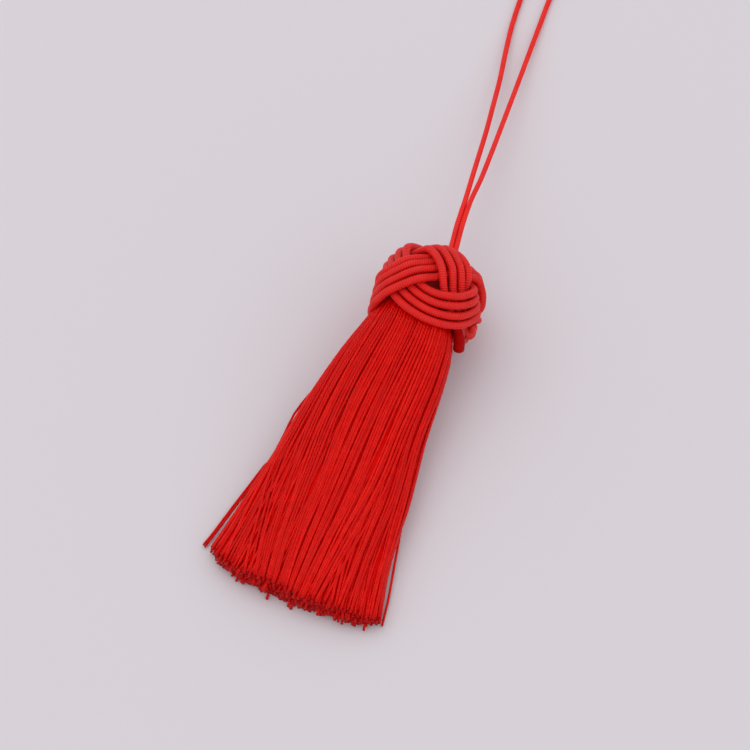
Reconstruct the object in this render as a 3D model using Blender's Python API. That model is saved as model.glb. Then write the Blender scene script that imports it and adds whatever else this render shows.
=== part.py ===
"""Silk tassel: a woven knot of one wrapped cord, a skirt of silk strands and a thin hanging loop.

The tassel lies on a flat surface, hem towards -Y and loop towards +Y. Lengths and places below
are in millimetres and the objects are built in metres.
Run with: blender --background --python part.py
"""
import math

import bmesh
import bpy
import numpy as np
from mathutils import Matrix

MM = 0.001

# Middle of the base of the head and skirt, measured from the middle of the knot: across, along
BASE_CENTRE = (-1.71, -31.08)

# Woven knot: a Turk's head of three leads and five bights, followed round four times
CORD_DIAMETER = 1.40
CORD_PITCH = 1.62
CORD_RING_SIDES = 6
CORD_POINT_SPACING = 2.05
LEADS = 3
BIGHTS = 5
PASSES = 4
LAYER_LIFT = 0.86
BIGHT_BLUNTNESS = 0.055
BIGHT_ANGLE = 4.0
START_TURN = 432.0
SHIFT_TURN = 432.0
SHIFT_SPAN = 26.0
CROSSOVER_LIFT = 1.7
RIM_RAISE = {"height": 6.5, "angle": 88.0, "width": 36.0}
# The pattern is drawn round towards the underside, in degrees
DRAWN_COLUMNS = ("middle", "turned", "reach")
DRAWN_ROUND = ((-104.0, -44.0, 60.0), (84.0, 22.0, 46.0))
CUT_TURNS = {"start": 40.0, "end": 26.0}

# Middle surface of the weave, from the skirt's rim to the loop's hole: radius, along the axis
WEAVE_PROFILE = (
    (8.6, -11.4), (9.05, -9.2), (9.4, -6.5), (9.45, -3.6), (9.15, -0.9),
    (8.4, 1.6), (6.95, 3.75), (5.1, 5.0), (3.1, 5.6),
)

# How far out a lead lies (1 over, -1 under), by its phase in degrees from the top bight
LAYER_TABLE = (
    (0, 0.1), (38, 1), (80, 1), (100, -1), (142, -1), (180, 0),
    (218, 1), (260, 1), (280, -1), (322, -1), (360, 0.1),
)

# The cord's two ends, in the knot's axes: across, along, out towards the upper side
NUB_POINTS = ((10.1, -4.9, 1.0), (9.8, -3.4, 0.3), (9.4, -2.5, -1.7))
STUB_POINTS = ((8.4, -5.6, 4.4), (9.2, -6.9, 3.4), (10.0, -8.2, 2.4), (10.9, -9.6, 1.2))

# Settling of the cord on the core
SETTLE_ROUNDS = 700
SETTLE_POINT_SPACING = 1.0
SETTLE_CLEARANCE = 1.70
SETTLE_INNER = -0.88
SETTLE_OUTER = 1.08
TURN_CLEARANCE = 1.46
TURN_ROUNDS = 160

# The knot lies a little turned and tilted on the skirt's axis
KNOT_ACROSS = 1.5
KNOT_FACE = math.radians(12.6)
KNOT_YAW = math.radians(-7.0)
KNOT_TILT = math.radians(5.0)
KNOT_FLAT = 0.12

# Bound core inside the knot: radius, along the axis
CORE_PROFILE = (
    (7.0, -7.6), (6.8, -5.6), (6.55, -3.4), (6.2, -0.8), (5.5, 1.1), (4.3, 2.4), (2.5, 3.2), (0.0, 3.5),
)
CORE_STEPS = 32

# Skirt, from the neck to the hem
STRAND_COUNT = 200
STRAND_SIDE = 0.48
STRAND_CLEARANCE = 0.15
STRAND_SPACING = 0.88
UPPER_POWER = 2.3
SPAN_PARTS = 6
SKIRT_COLUMNS = ("along", "centre_x", "centre_z", "half_width", "half_height", "lower_power")
SKIRT_SECTIONS = (
    (-9.2, 0.55, 10.95, 6.2, 6.2, 2.0),
    (-13.0, 0.45, 10.0, 8.1, 6.4, 2.2),
    (-20.0, -0.45, 8.4, 10.6, 5.9, 2.3),
    (-31.0, -1.35, 6.3, 12.1, 5.0, 2.6),
    (-44.0, -1.85, 4.4, 13.9, 4.16, 3.2),
    (-57.0, -2.3, 3.0, 16.6, 2.76, 4.0),
    (-69.0, -2.1, 2.5, 19.0, 2.26, 4.5),
)
FLOOR_FROM_SECTION = 4
FLOOR_SNAP = 0.12

# The cut hem: how far each corner is drawn back from the middle, and how ragged the ends are
HEM_ALONG = -68.5
HEM_CORNERS = {"left": (20.8, 5.8), "right": (17.6, 1.9)}
HEM_CORNER_POWER = 2.6
HEM_RAGGED = 0.5

# Hanging loop of thin cord: across, along, height
LOOP_DIAMETER = 0.85
LOOP_SIDES_RESOLUTION = 2
LOOP_SAMPLES = 72
LOOP_START = ((-0.55, 3.95, 0.0), (-0.55, 6.6, 0.0))
LOOP_OUT = (
    (0.97, 10.4, 11.6), (0.15, 15.3, 10.9), (-0.6, 21.6, 9.9), (-1.6, 30.5, 8.0), (-3.0, 40.3, 5.7),
    (-4.3, 47.9, 3.9), (-5.5, 55.0, 2.5), (-7.1, 62.9, 1.3), (-8.3, 70.0, 0.6), (-9.0, 78.0, 0.43),
)
LOOP_BIGHT = (
    (-9.6, 86.0, 0.43), (-9.2, 91.5, 0.43), (-6.6, 94.2, 0.43), (-4.3, 91.8, 0.43), (-3.6, 86.0, 0.43),
)
LOOP_BACK = (
    (-3.5, 77.8, 0.43), (-3.1, 71.0, 0.7), (-2.6, 64.0, 1.4), (-1.9, 55.5, 2.6), (-0.9, 44.2, 4.9),
    (-0.1, 35.5, 6.9), (0.5, 28.1, 8.6), (0.7, 21.8, 9.9), (1.2, 15.4, 10.9), (2.02, 10.4, 11.6),
)
LOOP_END = ((0.55, 6.6, 0.0), (0.55, 3.95, 0.0))

COLOURS = {"silk": (0.62, 0.018, 0.012, 1.0), "cord": (0.58, 0.014, 0.012, 1.0)}


def clear_scene():
    for obj in list(bpy.data.objects):
        bpy.data.objects.remove(obj, do_unlink=True)


def make_collection(name):
    collection = bpy.data.collections.new(name)
    bpy.context.scene.collection.children.link(collection)
    return collection


def make_material(name, colour, roughness):
    material = bpy.data.materials.new(name)
    material.use_nodes = True
    shader = material.node_tree.nodes["Principled BSDF"]
    shader.inputs["Base Color"].default_value = colour
    shader.inputs["Roughness"].default_value = roughness
    shader.inputs["Metallic"].default_value = 0.0
    material.diffuse_color = colour
    return material


def smooth_line(points, samples_per_span):
    """Catmull-Rom curve through the points."""
    points = np.array(points, float)
    ends = np.vstack([2 * points[0] - points[1], points, 2 * points[-1] - points[-2]])
    spans = []
    for i in range(1, len(ends) - 2):
        t = np.linspace(0, 1, samples_per_span, endpoint=False)[:, None]
        before, here, there, after = ends[i - 1:i + 3]
        spans.append(0.5 * (2 * here + (there - before) * t
                            + (2 * before - 5 * here + 4 * there - after) * t ** 2
                            + (3 * here - before - 3 * there + after) * t ** 3))
    return np.vstack(spans + [points[-1:]])


def distance_along(points):
    steps = np.linalg.norm(np.diff(points, axis=0), axis=1)
    return np.concatenate([[0.0], np.cumsum(steps)])


def even_points(points, count):
    along = distance_along(points)
    wanted = np.linspace(0, along[-1], count)
    return np.stack([np.interp(wanted, along, points[:, axis]) for axis in range(3)], -1)


def ease(value, low, high):
    t = np.clip((value - low) / (high - low), 0, 1)
    return t * t * (3 - 2 * t)


class WeaveSurface:
    """The turned surface midway through the weave, measured along its profile from the rim."""

    def __init__(self):
        self.profile = smooth_line(WEAVE_PROFILE, 16)
        self.along = distance_along(self.profile)
        self.length = self.along[-1]
        tangent = np.gradient(self.profile, axis=0)
        self.tangent = tangent / np.linalg.norm(tangent, axis=1)[:, None]
        self.normal = np.stack([self.tangent[:, 1], -self.tangent[:, 0]], 1)

    def point(self, angle, travel, lift):
        on = np.clip(travel, 0, self.length)
        past = travel - on
        radius, axial = [np.interp(on, self.along, self.profile[:, k])
                         + lift * np.interp(on, self.along, self.normal[:, k])
                         + past * np.interp(on, self.along, self.tangent[:, k]) for k in (0, 1)]
        return np.stack([radius * np.sin(angle), axial, radius * np.cos(angle)], -1)

    def locate(self, points):
        radius = np.hypot(points[:, 0], points[:, 2])
        axial = points[:, 1]
        nearest = ((radius[:, None] - self.profile[None, :, 0]) ** 2
                   + (axial[:, None] - self.profile[None, :, 1]) ** 2).argmin(1)
        off = np.stack([radius, axial], 1) - self.profile[nearest]
        height = (off * self.normal[nearest]).sum(1)
        travel = self.along[nearest] + (off * self.tangent[nearest]).sum(1)
        return np.arctan2(points[:, 0], points[:, 2]), travel, height, nearest


def table_value(table, phase):
    rows = np.array(table, float)
    return np.interp(np.degrees(np.mod(phase, 2 * np.pi)), rows[:, 0], rows[:, 1])


def away_from(angle, middle):
    """How far each angle is from the middle one, in degrees either way."""
    return np.mod(np.degrees(angle) - middle + 180, 360) - 180


def drawn_round(angle):
    moved = angle.copy()
    for middle, turned, reach in DRAWN_ROUND:
        moved += math.radians(turned) * np.exp(-(away_from(angle, middle) / reach) ** 2)
    return moved


def woven_line(surface):
    """The cord's four passes round the knot, before it settles, and the turn of each point."""
    first = math.radians(BIGHT_ANGLE)
    angle = np.linspace(0, 2 * np.pi * LEADS * PASSES, 6000) + first + math.radians(START_TURN)
    turn = np.degrees(angle - angle[0])
    last_shift = SHIFT_TURN + 360 * LEADS * (PASSES - 1)
    lane = np.zeros_like(turn)
    for shift in range(PASSES - 1):
        centre = SHIFT_TURN + 360 * LEADS * shift
        lane += ease(turn, centre - SHIFT_SPAN, centre + SHIFT_SPAN)
    lane -= (PASSES - 1) * ease(turn, last_shift - SHIFT_SPAN, last_shift + SHIFT_SPAN)
    offset = ((PASSES - 1) / 2 - lane) * CORD_PITCH

    phase = BIGHTS / LEADS * (angle - first) + np.pi
    half_travel = (surface.length - (PASSES - 1) * CORD_PITCH) / 2
    wave = (np.cos(phase) - BIGHT_BLUNTNESS * np.cos(3 * phase)) / (1 - BIGHT_BLUNTNESS)
    travel = surface.length / 2 + half_travel * wave
    raised = RIM_RAISE["height"] * np.exp(-(away_from(angle, RIM_RAISE["angle"]) / RIM_RAISE["width"]) ** 2)
    travel = travel + raised * np.clip(1 - travel / surface.length, 0, 1)

    placed = drawn_round(angle)
    centre_line = surface.point(placed, travel, np.zeros_like(travel))
    tangent = np.gradient(centre_line, axis=0)
    tangent /= np.linalg.norm(tangent, axis=1)[:, None]
    normal = surface.point(placed, travel, np.ones_like(travel)) - centre_line
    side = np.cross(tangent, normal)
    if side[np.argmin(travel)][1] > 0:
        side = -side
    lane_angle, lane_travel, _, _ = surface.locate(centre_line + side * offset[:, None])
    crossing = (ease(turn, last_shift - SHIFT_SPAN - 9, last_shift - SHIFT_SPAN + 7)
                * (1 - ease(turn, last_shift + SHIFT_SPAN - 7, last_shift + SHIFT_SPAN + 9)))
    lift = LAYER_LIFT * table_value(LAYER_TABLE, phase) * (1 - crossing) + CROSSOVER_LIFT * crossing
    return surface.point(lane_angle, lane_travel, lift), turn


def add_cord_ends(line, turn):
    total = 360.0 * LEADS * PASSES
    kept = line[(turn > CUT_TURNS["start"]) & (turn < total - CUT_TURNS["end"])]
    return np.vstack([NUB_POINTS, kept, STUB_POINTS])


def close_pairs(points, reach, apart):
    first, second = [], []
    for start in range(0, len(points), 300):
        gaps = ((points[start:start + 300, None] - points[None]) ** 2).sum(-1)
        rows, columns = np.nonzero(gaps < reach * reach)
        rows = rows + start
        keep = columns - rows >= apart
        first.append(rows[keep])
        second.append(columns[keep])
    return np.concatenate(first), np.concatenate(second)


def settle_cord(points, surface):
    """Draw the cord tight on the core while its turns push one another apart."""
    start = points.copy()
    count = len(points)
    for step in range(SETTLE_ROUNDS):
        done = step / SETTLE_ROUNDS
        if step % 15 == 0:
            first, second = close_pairs(points, 3.0, 5)
        bend = np.zeros_like(points)
        bend[1:-1] = (points[:-2] + points[2:]) / 2 - points[1:-1]
        smoothing = 0.30 if done < 0.3 else 0.14 if done < 0.6 else 0.04
        hold = 0.02 if done < 0.3 else 0.002
        points = points + smoothing * bend + hold * (start - points)
        apart = points[first] - points[second]
        gap = np.sqrt((apart ** 2).sum(1))
        push = apart * (0.28 * np.clip(SETTLE_CLEARANCE - gap, 0, None) / np.maximum(gap, 0.1))[:, None]
        for axis in range(3):
            points[:, axis] += (np.bincount(first, push[:, axis], count)
                                - np.bincount(second, push[:, axis], count))
        _, travel, height, nearest = surface.locate(points)
        move = np.clip(SETTLE_INNER - height, 0, None) - 0.35 * np.clip(height - SETTLE_OUTER, 0, None)
        move = np.where(travel > -0.3, move, 0)
        radius = np.maximum(np.hypot(points[:, 0], points[:, 2]), 0.5)
        outward = move * surface.normal[nearest, 0] / radius
        points[:, 0] += outward * points[:, 0]
        points[:, 2] += outward * points[:, 2]
        points[:, 1] += move * surface.normal[nearest, 1]
    return points


def nearest_between(points, first, second):
    """The shortest way from the second stretch to the first, and how far along each it lies."""
    start, other = points[first], points[second]
    run, other_run = points[first + 1] - start, points[second + 1] - other
    apart = start - other
    a, b, e = (run * run).sum(1), (run * other_run).sum(1), (other_run * other_run).sum(1)
    c, f = (run * apart).sum(1), (other_run * apart).sum(1)
    s = np.clip((b * f - c * e) / np.maximum(a * e - b * b, 1e-6), 0, 1)
    t = np.clip((b * s + f) / e, 0, 1)
    s = np.clip((b * t - c) / a, 0, 1)
    return apart + run * s[:, None] - other_run * t[:, None], s, t


def clear_turns(points):
    """Move apart any stretches of the cord that come closer than its thickness."""
    count = len(points)
    for step in range(TURN_ROUNDS):
        if step % 20 == 0:
            first, second = close_pairs(points, 4.5, 3)
            kept = second < count - 1
            first, second = first[kept], second[kept]
        apart, s, t = nearest_between(points, first, second)
        gap = np.sqrt((apart ** 2).sum(1))
        push = apart * (0.3 * np.clip(TURN_CLEARANCE - gap, 0, None) / np.maximum(gap, 0.1))[:, None]
        for axis in range(3):
            for index, share in ((first, 1 - s), (first + 1, s), (second, t - 1), (second + 1, -t)):
                points[:, axis] += np.bincount(index, push[:, axis] * share, count)
    return points


def turn_knot(points):
    """Knot axes (across, along, up) to the tassel's, before the knot is lifted onto the floor."""
    points = np.atleast_2d(np.array(points, float))
    across = points[:, 0] * math.cos(KNOT_FACE) + points[:, 2] * math.sin(KNOT_FACE)
    up = points[:, 2] * math.cos(KNOT_FACE) - points[:, 0] * math.sin(KNOT_FACE)
    along = points[:, 1] * math.cos(KNOT_TILT) - up * math.sin(KNOT_TILT)
    height = points[:, 1] * math.sin(KNOT_TILT) + up * math.cos(KNOT_TILT)
    return np.stack([across * math.cos(KNOT_YAW) - along * math.sin(KNOT_YAW) + KNOT_ACROSS,
                     across * math.sin(KNOT_YAW) + along * math.cos(KNOT_YAW), height], -1)


def knot_route():
    surface = WeaveSurface()
    line = add_cord_ends(*woven_line(surface))
    count = int(distance_along(line)[-1] / SETTLE_POINT_SPACING)
    settled = settle_cord(even_points(line, count), surface)
    point_count = int(distance_along(settled)[-1] / CORD_POINT_SPACING)
    placed = turn_knot(clear_turns(even_points(settled, point_count)))
    knot_height = CORD_DIAMETER / 2 - KNOT_FLAT - placed[:, 2].min()
    placed[:, 2] += knot_height
    return placed, knot_height


def tube(name, route, diameter, resolution, material, collection):
    curve = bpy.data.curves.new(name, "CURVE")
    curve.dimensions = "3D"
    spline = curve.splines.new("POLY")
    spline.points.add(len(route) - 1)
    for point, place in zip(spline.points, route):
        point.co = (place[0] * MM, place[1] * MM, place[2] * MM, 1.0)
    curve.bevel_depth = diameter / 2 * MM
    curve.bevel_resolution = resolution
    curve.use_fill_caps = True
    curve.materials.append(material)
    obj = bpy.data.objects.new(name, curve)
    collection.objects.link(obj)
    return obj


def build_knot(route, material, collection):
    """The knot's cord as a mesh, with a small flat where it rests."""
    resolution = (CORD_RING_SIDES - 4) // 2
    curve = tube("knot_cord_route", route, CORD_DIAMETER, resolution, material, collection)
    bpy.context.view_layer.update()
    evaluated = curve.evaluated_get(bpy.context.evaluated_depsgraph_get())
    mesh = bpy.data.meshes.new_from_object(evaluated)
    bm = bmesh.new()
    bm.from_mesh(mesh)
    bmesh.ops.remove_doubles(bm, verts=bm.verts, dist=0.00001)
    for vertex in bm.verts:
        vertex.co.z = max(vertex.co.z, 0.0)
    bm.to_mesh(mesh)
    bm.free()
    mesh.shade_smooth()
    knot = bpy.data.objects.new("knot_head", mesh)
    collection.objects.link(knot)
    bpy.data.objects.remove(curve, do_unlink=True)
    return knot


def section_row(index):
    return dict(zip(SKIRT_COLUMNS, SKIRT_SECTIONS[index]))


def keep_inside(places, size):
    """Places drawn back inside a section's rounded outline, whose lower half may be flatter."""
    half_width, half_height, lower_power = size
    power = np.where(places[:, 1] > 0, UPPER_POWER, lower_power)
    reach = ((np.abs(places[:, 0]) / half_width) ** power
             + (np.abs(places[:, 1]) / half_height) ** power) ** (1 / power)
    return places / np.maximum(reach, 1)[:, None]


def spread_apart(places, spacing, strength):
    apart = places[:, None] - places[None]
    gap = np.sqrt((apart ** 2).sum(-1)) + 1e-9
    np.fill_diagonal(gap, 9.0)
    push = strength * np.clip(spacing - gap, 0, None) / gap
    return (apart * push[..., None]).sum(1)


def square_clearance(places, wanted, strength):
    """Push of strands whose square sections come closer than the wanted distance."""
    apart = places[:, None] - places[None]
    gap = np.abs(apart).max(-1)
    np.fill_diagonal(gap, 9.0)
    rows, columns = np.nonzero(gap < wanted)
    push = np.zeros_like(places)
    if len(rows):
        axis = np.abs(apart[rows, columns]).argmax(1)
        amount = (wanted - gap[rows, columns]) * np.sign(apart[rows, columns, axis] + 1e-12)
        np.add.at(push, (rows, axis), strength * amount)
    return push


def pack_strands():
    """Strand centres at each section: spread from a round neck to a flat hem without crossing."""
    sizes = np.array(SKIRT_SECTIONS)[:, 3:6]
    index = np.arange(STRAND_COUNT)
    radius = np.sqrt((index + 0.5) / STRAND_COUNT) * sizes[0, 0]
    golden = index * math.pi * (3 - math.sqrt(5))
    places = np.stack([radius * np.cos(golden), radius * np.sin(golden)], 1)
    for _ in range(150):
        places = keep_inside(places + spread_apart(places, STRAND_SPACING, 0.35), sizes[0])
    sections = [places]
    for here, there in zip(sizes[:-1], sizes[1:]):
        for part in range(10):
            low = here + (there - here) * part / 10
            high = here + (there - here) * (part + 1) / 10
            places = places * (high / low)[:2]
            for _ in range(14):
                places = keep_inside(places + spread_apart(places, STRAND_SPACING, 0.35), high)
        sections.append(places)
    sections = np.array(sections)
    clear_spans(sections, sizes, 90, lambda p: 0.45 * spread_apart(p, STRAND_SPACING, 0.3))
    lay_on_floor(sections, sizes)
    clear_spans(sections, sizes, 150, lambda p: square_clearance(p, STRAND_SIDE + STRAND_CLEARANCE, 0.2))
    return sections


def lay_on_floor(sections, sizes):
    """The lowest strands of the sections that touch the floor lie level on it."""
    for places, size in list(zip(sections, sizes))[FLOOR_FROM_SECTION:]:
        low = places[:, 1] < FLOOR_SNAP - size[1]
        places[low, 1] = -size[1]


def clear_spans(sections, sizes, rounds, push_apart):
    """Keep the strands clear of one another at the sections and between them."""
    for _ in range(rounds):
        moves = np.zeros_like(sections)
        for k in range(len(sections) - 1):
            for part in range(SPAN_PARTS + (k == len(sections) - 2)):
                t = part / SPAN_PARTS
                push = push_apart(sections[k] * (1 - t) + sections[k + 1] * t)
                moves[k] += push * (1 - t)
                moves[k + 1] += push * t
        sections += moves
        for k, size in enumerate(sizes):
            sections[k] = keep_inside(sections[k], size)
        lay_on_floor(sections, sizes)


def strand_rings():
    """Centres of every strand at every section, (section, strand, xyz), with the ragged hem."""
    sections = pack_strands()
    rings = np.zeros(sections.shape[:2] + (3,))
    for k in range(len(sections)):
        row = section_row(k)
        rings[k, :, 0] = sections[k, :, 0] + row["centre_x"]
        rings[k, :, 1] = row["along"]
        rings[k, :, 2] = sections[k, :, 1] + row["centre_z"]
    across = rings[-1, :, 0]
    reach = np.where(across < 0, HEM_CORNERS["left"][0], HEM_CORNERS["right"][0])
    drawn = np.where(across < 0, HEM_CORNERS["left"][1], HEM_CORNERS["right"][1])
    ragged = HEM_RAGGED * np.sin(np.arange(STRAND_COUNT) * 12.9898)
    end = HEM_ALONG + drawn * np.clip(np.abs(across) / reach, 0, 1) ** HEM_CORNER_POWER + ragged
    part = (end - rings[-2, :, 1]) / (rings[-1, :, 1] - rings[-2, :, 1])
    rings[-1] = rings[-2] + (rings[-1] - rings[-2]) * part[:, None]
    rings[-1, :, 2] = np.maximum(rings[-1, :, 2], STRAND_SIDE / 2)
    return rings


def build_skirt(rings, knot_height, material, collection):
    """Bound core with every strand grown out of its flat lower face."""
    bm = bmesh.new()
    mark = bm.faces.layers.int.new("strand")
    profile = [bm.verts.new((0.0, along, radius)) for radius, along in CORE_PROFILE]
    edges = [bm.edges.new(pair) for pair in zip(profile[:-1], profile[1:])]
    bmesh.ops.spin(bm, geom=profile + edges, cent=(0, 0, 0), axis=(0, 1, 0), angle=2 * math.pi,
                   steps=CORE_STEPS, use_merge=True)
    bmesh.ops.remove_doubles(bm, verts=bm.verts, dist=0.0001)
    rim_along = CORE_PROFILE[0][1]
    rim = [v for v in bm.verts if abs(v.co.y - rim_along) < 1e-6]
    places = turn_knot([v.co for v in bm.verts])
    for vertex, place in zip(bm.verts, places):
        vertex.co = (place[0], place[1], place[2] + knot_height)
    for vertex in rim:
        vertex.co.y = rings[0, 0, 1]
    outline = [edge for edge in bm.edges if edge.is_boundary]

    half = STRAND_SIDE / 2
    roots = []
    for x, y, z in rings[0]:
        corners = [bm.verts.new((x + i * half, y, z + j * half))
                   for i, j in ((-1, -1), (1, -1), (1, 1), (-1, 1))]
        loop = [bm.edges.new((corners[k], corners[(k + 1) % 4])) for k in range(4)]
        outline += loop
        roots.append(corners)
    bmesh.ops.triangle_fill(bm, use_beauty=True, use_dissolve=False, edges=outline)
    faces = [bm.faces.new(corners) for corners in roots]
    for number, face in enumerate(faces):
        face[mark] = number + 1
    for k in range(1, len(rings)):
        grown = bmesh.ops.extrude_discrete_faces(bm, faces=faces)["faces"]
        for face in grown:
            strand = face[mark] - 1
            move = rings[k, strand] - rings[k - 1, strand]
            for vertex in face.verts:
                vertex.co.x += move[0]
                vertex.co.y += move[1]
                vertex.co.z += move[2]
        faces = grown
    for vertex in bm.verts:
        vertex.co *= MM
    bmesh.ops.recalc_face_normals(bm, faces=bm.faces)
    mesh = bpy.data.meshes.new("tassel_skirt")
    bm.to_mesh(mesh)
    bm.free()
    mesh.materials.append(material)
    skirt = bpy.data.objects.new("tassel_skirt", mesh)
    collection.objects.link(skirt)
    return skirt


def build_loop(knot_height, material, collection):
    start = turn_knot(LOOP_START)
    end = turn_knot(LOOP_END)
    start[:, 2] += knot_height
    end[:, 2] += knot_height
    route = smooth_line(np.vstack([start, LOOP_OUT, LOOP_BIGHT, LOOP_BACK, end]), 12)
    route[:, 2] = np.maximum(route[:, 2], LOOP_DIAMETER / 2 + 0.01)
    return tube("hanging_loop", even_points(route, LOOP_SAMPLES), LOOP_DIAMETER,
                LOOP_SIDES_RESOLUTION, material, collection)


def main():
    clear_scene()
    tassel = make_collection("silk_tassel")
    silk = make_material("red_silk", COLOURS["silk"], 0.55)
    cord = make_material("red_wrapped_cord", COLOURS["cord"], 0.5)
    route, knot_height = knot_route()
    build_knot(route, cord, tassel)
    build_skirt(strand_rings(), knot_height, silk, tassel)
    build_loop(knot_height, cord, tassel)
    to_base = Matrix.Translation((-BASE_CENTRE[0] * MM, -BASE_CENTRE[1] * MM, 0.0))
    for obj in tassel.objects:
        obj.data.transform(to_base)


main()
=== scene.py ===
import math

import bmesh
import bpy
import numpy as np
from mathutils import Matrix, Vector


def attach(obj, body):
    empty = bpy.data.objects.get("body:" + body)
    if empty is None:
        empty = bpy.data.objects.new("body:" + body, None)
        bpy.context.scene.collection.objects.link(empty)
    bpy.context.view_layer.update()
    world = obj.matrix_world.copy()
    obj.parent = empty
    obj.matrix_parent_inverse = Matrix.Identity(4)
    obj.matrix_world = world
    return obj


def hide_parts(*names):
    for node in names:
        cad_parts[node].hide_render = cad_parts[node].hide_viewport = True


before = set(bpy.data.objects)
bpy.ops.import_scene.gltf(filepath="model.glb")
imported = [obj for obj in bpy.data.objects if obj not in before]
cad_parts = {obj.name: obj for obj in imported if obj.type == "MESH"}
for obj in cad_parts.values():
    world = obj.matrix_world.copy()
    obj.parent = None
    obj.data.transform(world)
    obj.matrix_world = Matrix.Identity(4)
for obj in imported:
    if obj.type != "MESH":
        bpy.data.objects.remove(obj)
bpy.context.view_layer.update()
mm = 0.001

baseCentre = np.array([-1.71, -31.08, 0.0])  # middle of the base, measured from the middle of the knot


def toLinear(hexColour):
    parts = [int(hexColour[i:i + 2], 16) / 255 for i in (1, 3, 5)]
    return tuple(p / 12.92 if p <= 0.04045 else ((p + 0.055) / 1.055) ** 2.4 for p in parts) + (1.0,)


def addNode(tree, kind, inputs=None, **settings):
    node = tree.nodes.new(kind)
    for name, value in settings.items():
        setattr(node, name, value)
    for socket, value in (inputs or {}).items():
        if isinstance(value, bpy.types.NodeSocket):
            tree.links.new(value, node.inputs[socket])
        else:
            node.inputs[socket].default_value = value
    return node


def fillRamp(ramp, stops):
    elements = ramp.color_ramp.elements
    while len(elements) < len(stops):
        elements.new(0.5)
    for element, (place, hexColour) in zip(elements, stops):
        element.position = place
        element.color = toLinear(hexColour)


def newMaterial(name):
    material = bpy.data.materials.new(name)
    material.use_nodes = True
    tree = material.node_tree
    return material, tree, tree.nodes["Principled BSDF"]


def addMath(tree, operation, *values):
    return addNode(tree, "ShaderNodeMath", dict(enumerate(values)), operation=operation).outputs[0]


def addRange(tree, value, **ends):
    # the ends are given as fromMin, fromMax, toMin and toMax
    sockets = {name[:-3].title() + " " + name[-3:]: end for name, end in ends.items()}
    return addNode(tree, "ShaderNodeMapRange", {"Value": value, **sockets}).outputs[0]


def addWave(tree, turns):
    # a sine wave that runs from 0 to 1 and back once a turn
    sine = addMath(tree, "SINE", addMath(tree, "MULTIPLY", turns, 2 * math.pi))
    return addRange(tree, sine, fromMin=-1.0, fromMax=1.0)


def addNoise(tree, place, scale):
    noise = addNode(tree, "ShaderNodeTexNoise", {"Vector": place, "Scale": scale, "Detail": 2.0})
    return noise.outputs["Fac"]


def addBump(tree, height, strength, depth):
    # the depth is in millimetres
    return addNode(tree, "ShaderNodeBump", {"Strength": strength, "Distance": depth * mm,
                                            "Height": height}).outputs["Normal"]


def addBlend(tree, share, first, second):
    return addNode(tree, "ShaderNodeMix", {"Factor": share, "A": first, "B": second},
                   data_type="RGBA").outputs["Result"]


def readAttribute(tree, name):
    return addNode(tree, "ShaderNodeAttribute", attribute_name=name).outputs["Fac"]


def addColours(tree, value, stops):
    ramp = addNode(tree, "ShaderNodeValToRGB", {0: value})
    fillRamp(ramp, stops)
    return ramp.outputs["Color"]


def linkObject(name, data):
    item = bpy.data.objects.new(name, data)
    bpy.context.scene.collection.objects.link(item)
    return item


def meshFrom(bm, name):
    mesh = bpy.data.meshes.new(name)
    bm.to_mesh(mesh)
    bm.free()
    return mesh


# ---- view: the tassel lies turned on the surface, seen from above its hem
view = {"elevation": 58.0, "turn": 20.9, "distance": 1.235, "lens": 312.0, "sensor": 36.0, "nearest": 0.05,
        "headAcross": 0.00986, "headAway": 0.01293}


def fromView(across, away, height):
    # a place on the surface as the camera sees it (right, away, up) in the tassel's own axes
    turn = math.radians(view["turn"])
    x, y = across - view["headAcross"], away - view["headAway"]
    return Vector((x * math.cos(turn) - y * math.sin(turn) - baseCentre[0] * mm,
                   x * math.sin(turn) + y * math.cos(turn) - baseCentre[1] * mm, height))


def aimAt(obj, target):
    obj.rotation_euler = (target - obj.location).to_track_quat("-Z", "Y").to_euler()


def makeCamera():
    camera = linkObject("camera", bpy.data.cameras.new("camera"))
    camera.data.lens = view["lens"]
    camera.data.sensor_width = view["sensor"]
    camera.data.clip_start = view["nearest"]
    tilt = math.radians(view["elevation"])
    camera.location = fromView(0, -view["distance"] * math.cos(tilt), view["distance"] * math.sin(tilt))
    aimAt(camera, fromView(0, 0, 0))
    bpy.context.scene.camera = camera


makeCamera()
print("camera placed")


# ---- lines and tubes

def smoothLine(points, perSpan):
    points = np.array(points, float)
    ends = np.vstack([2 * points[0] - points[1], points, 2 * points[-1] - points[-2]])
    t = np.linspace(0, 1, perSpan, endpoint=False)[:, None]
    spans = []
    for before, here, there, after in zip(ends[:-3], ends[1:-2], ends[2:-1], ends[3:]):
        spans.append(0.5 * (2 * here + (there - before) * t
                            + (2 * before - 5 * here + 4 * there - after) * t ** 2
                            + (3 * here - before - 3 * there + after) * t ** 3))
    return np.vstack(spans + [points[-1:]])


def distanceAlong(points):
    return np.concatenate([[0.0], np.cumsum(np.linalg.norm(np.diff(points, axis=0), axis=1))])


def evenPoints(points, count):
    along = distanceAlong(points)
    wanted = np.linspace(0, along[-1], count)
    return np.stack([np.interp(wanted, along, points[:, axis]) for axis in range(points.shape[1])], -1)


def markDistance(mesh):
    # how far down its tube each point lies, 0 to 1: read from the side faces, so it is right on the caps too
    sides, corners = np.empty(len(mesh.polygons), int), np.empty(len(mesh.loops), int)
    places = np.empty(len(mesh.loops) * 2)
    mesh.polygons.foreach_get("loop_total", sides)
    mesh.loops.foreach_get("vertex_index", corners)
    mesh.uv_layers[0].uv.foreach_get("vector", places)
    onSide = np.repeat(sides == 4, sides)
    down = np.zeros(len(mesh.vertices))
    down[corners[onSide]] = places[::2][onSide]
    mesh.attributes.new("down", "FLOAT", "POINT").data.foreach_set("value", down)


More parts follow.
